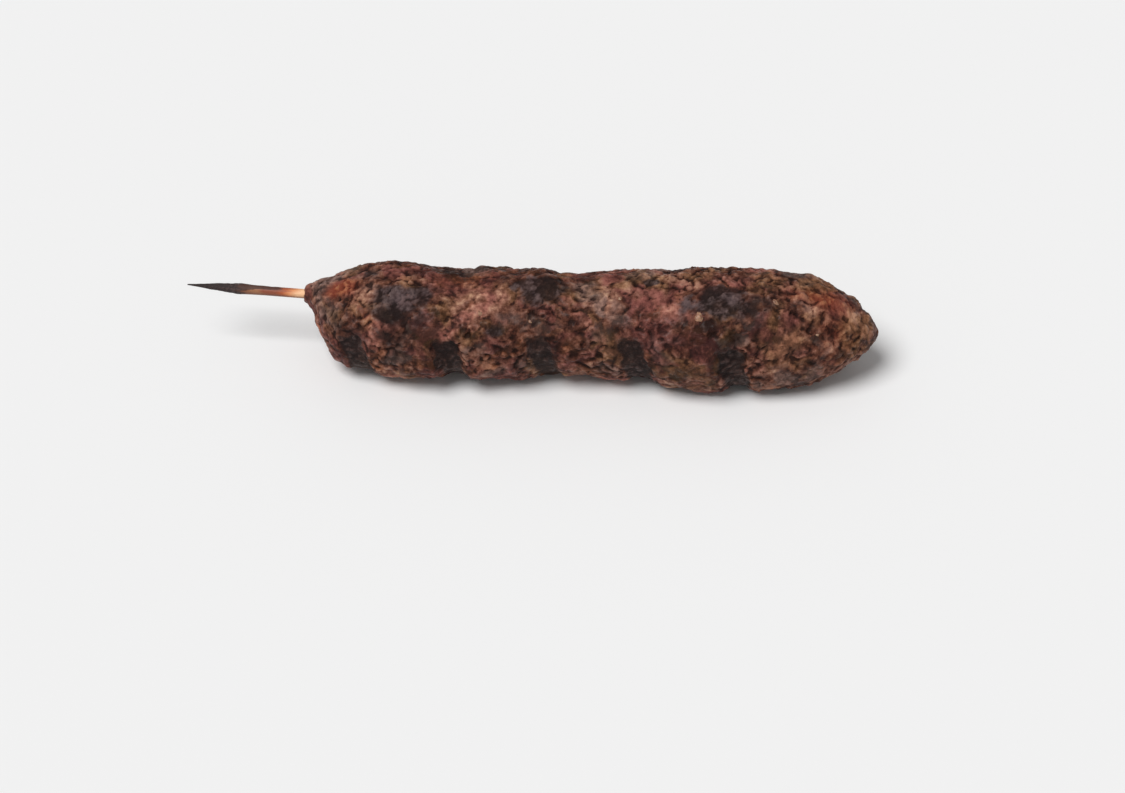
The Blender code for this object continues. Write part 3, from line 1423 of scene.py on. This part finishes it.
@dataclass(frozen=True)
class BambooFinish:
    """Split bamboo: pale where it was kept moist, toasted orange, and charred at its point."""

    pale: Colour = paint(250, 198, 152)
    straw: Colour = paint(226, 148, 98)
    ember: Colour = paint(176, 90, 52)
    toasted: Colour = paint(142, 76, 53)
    tan: Colour = paint(158, 108, 76)
    brown: Colour = paint(120, 74, 52)
    singed: Colour = paint(66, 42, 35)
    black: Colour = paint(36, 29, 29)
    ash: Colour = paint(76, 60, 58)
    shows: float = 30.5 * MM

    def material(self) -> bpy.types.Material:
        """Makes the finish.

        Returns:
            The material.
        """
        graph = Graph("bamboo")
        grain = graph.mark(Mark.GRAIN, "Vector")
        scale = {"operation": "MULTIPLY"}
        long_grain = graph.node("ShaderNodeVectorMath", scale, {0: grain, 1: (0.06, 1.0, 1.0)})
        fibres = graph.noise(graph.out(long_grain), 0.45 * MM, 3.0, 0.6)
        streaks = graph.noise(graph.out(long_grain), 1.3 * MM, 2.0)
        soot = graph.noise(grain, 0.7 * MM, 4.0, 0.65)
        along = graph.mark(Mark.ALONG) / self.shows + streaks.sway(0.18)
        stops = (
            (0.50, self.brown),
            (0.57, self.tan),
            (0.63, self.tan),
            (0.68, self.toasted),
            (0.78, self.toasted),
            (0.85, self.ember),
            (0.91, self.straw),
            (0.98, self.pale),
        )
        toast = graph.ramp(along, stops)
        colour = graph.mix(fibres.step(0.45, 0.75) * 0.45, toast, self.brown)
        # Painted shade: the skewer's underside, below its line, is mixed toward brown.
        under = graph.out(graph.node("ShaderNodeSeparateXYZ", {}, {0: grain}), 2)
        colour = graph.mix(under.step(0.8 * MM, -0.6 * MM) * 0.75, colour, self.brown)
        char = graph.mark(Mark.CHAR) + soot.sway(0.5)
        colour = graph.mix(char.step(0.05, 0.45) * 0.85, colour, self.singed)
        dusty = soot + streaks.sway(0.6) + (along - 0.32) * 0.8
        coal = graph.mix(dusty.step(0.42, 0.8), self.black, self.ash)
        colour = graph.mix(char.step(0.45, 0.95) * 0.9, colour, coal)
        sockets = {
            "Base Color": colour,
            "Roughness": 0.5 + char.step(0.2, 0.8) * 0.25,
            "Specular IOR Level": 0.4,
            "Normal": graph.bump(soot, 0.08 * MM, graph.bump(fibres, 0.06 * MM)),
        }
        return graph.surface(sockets)


@dataclass(frozen=True)
class FloorFinish:
    """A plain matt white surface."""

    white: Colour = (0.86, 0.86, 0.86)

    def material(self) -> bpy.types.Material:
        """The finish as a material."""
        return Graph("floor_white").surface({"Base Color": self.white, "Roughness": 0.9})


# The studio ---


@dataclass
class Studio:
    """The floor, the lights and the camera.

    Attributes:
        length: the object's length, which the distances are worked out from.
        azimuth: how far the camera is turned to the right, in degrees.
        elevation: how far the camera looks down, in degrees.
        camera_distance: how far it is from what it is aimed at.
        view_width: how wide its view is, in lengths of the object.
        aim_right: how far to the right of the middle it is aimed, in lengths.
        aim_front: how far to the front, in lengths.
        light_breadth: how broad the main light looks, in degrees.
        light_from: the way to the main light.
        floor_reach: how far the floor goes each way.
        floor_gap: how far it lies under the object.
    """

    length: float
    azimuth: float = 2.1
    elevation: float = 44.0
    camera_distance: float = 1.05
    view_width: float = 1.640
    aim_right: float = 0.048
    aim_front: float = 0.073
    sensor: float = 36.0
    sky: float = 0.3
    light: float = 2.55
    light_breadth: float = 32.0
    light_from: tuple[float, float, float] = (-0.32, -0.26, 0.83)
    floor_reach: float = 12.0
    floor_gap: float = 0.02 * MM

    def build(self) -> bpy.types.Object:
        """Sets the studio up.

        Returns:
            The floor.
        """
        scene = bpy.context.scene
        scene.view_settings.view_transform = "Standard"
        scene.world = bpy.data.worlds.new("soft_white")
        scene.world.use_nodes = True
        backdrop = scene.world.node_tree.nodes["Background"]
        backdrop.inputs["Color"].default_value = (1.0, 1.0, 1.0, 1.0)
        backdrop.inputs["Strength"].default_value = self.sky
        self._softbox()
        self._camera()
        return self._floor()

    def _softbox(self) -> None:
        """Adds the main light, which is broad and reaches all of the floor evenly."""
        data = bpy.data.lights.new("softbox", "SUN")
        data.energy = self.light
        data.angle = math.radians(self.light_breadth)
        lamp = new_object("softbox", data)
        lamp.rotation_euler = (-Vector(self.light_from)).to_track_quat("-Z", "Y").to_euler()

    def _camera(self) -> None:
        """Adds the camera."""
        side, up = math.radians(self.azimuth), math.radians(self.elevation)
        back = Vector((math.sin(side) * math.cos(up), -math.cos(side) * math.cos(up), math.sin(up)))
        aim = Vector((self.aim_right, -self.aim_front, 0)) * self.length
        data = bpy.data.cameras.new("camera")
        camera = new_object("camera", data)
        camera.location = aim + back * self.camera_distance
        camera.rotation_euler = (-back).to_track_quat("-Z", "Y").to_euler()
        data.sensor_width = self.sensor
        data.lens = self.sensor * camera.location.dot(back) / (self.view_width * self.length)
        data.clip_start = 0.01
        bpy.context.scene.camera = camera

    def _floor(self) -> bpy.types.Object:
        """Adds the floor, a hair below the object.

        Returns:
            The floor.
        """
        bm = bmesh.new()
        bmesh.ops.create_grid(bm, x_segments=1, y_segments=1, size=self.floor_reach)
        mesh = bpy.data.meshes.new("floor")
        bm.to_mesh(mesh)
        bm.free()
        mesh.materials.append(FloorFinish().material())
        floor = new_object("floor", mesh)
        floor.location.z = -self.floor_gap
        return floor


# Assembly ---


def dress(piece: bpy.types.Object, material: bpy.types.Material) -> None:
    """Gives a piece its finish and lets it move with the object's one body.

    Args:
        piece: the piece.
        material: its finish.
    """
    piece.data.materials.clear()
    piece.data.materials.append(material)
    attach(piece, "root")
    log.info("%s: %d faces", piece.name, len(piece.data.polygons))


def corners_of(box: Sequence[Vector]) -> list[list[float]]:
    """A box's corners as plain lists of numbers."""
    return [[float(value) for value in corner] for corner in box]


def main() -> None:
    """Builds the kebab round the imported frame."""
    logging.basicConfig(level=logging.INFO, format="%(message)s")
    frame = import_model()
    solid_box = corners_of(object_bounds())
    low, high = (Vector(corner) for corner in solid_box)
    place = RollFrame("meat")
    skewer = BambooSkewer(frame["nodes"]["skewer"], place.start)
    stick = skewer.build()
    dress(stick, BambooFinish().material())
    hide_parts("skewer")

    roll = MeatRoll(place, frame["nodes"]["meat"]).build(skewer)
    dress(roll, MinceFinish().material())
    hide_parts("meat")

    flecks = FatFlecks(place).build(Skin(roll))
    dress(flecks, FatFinish().material())

    Studio(high.x - low.x).build()


if __name__ == "__main__":
    main()
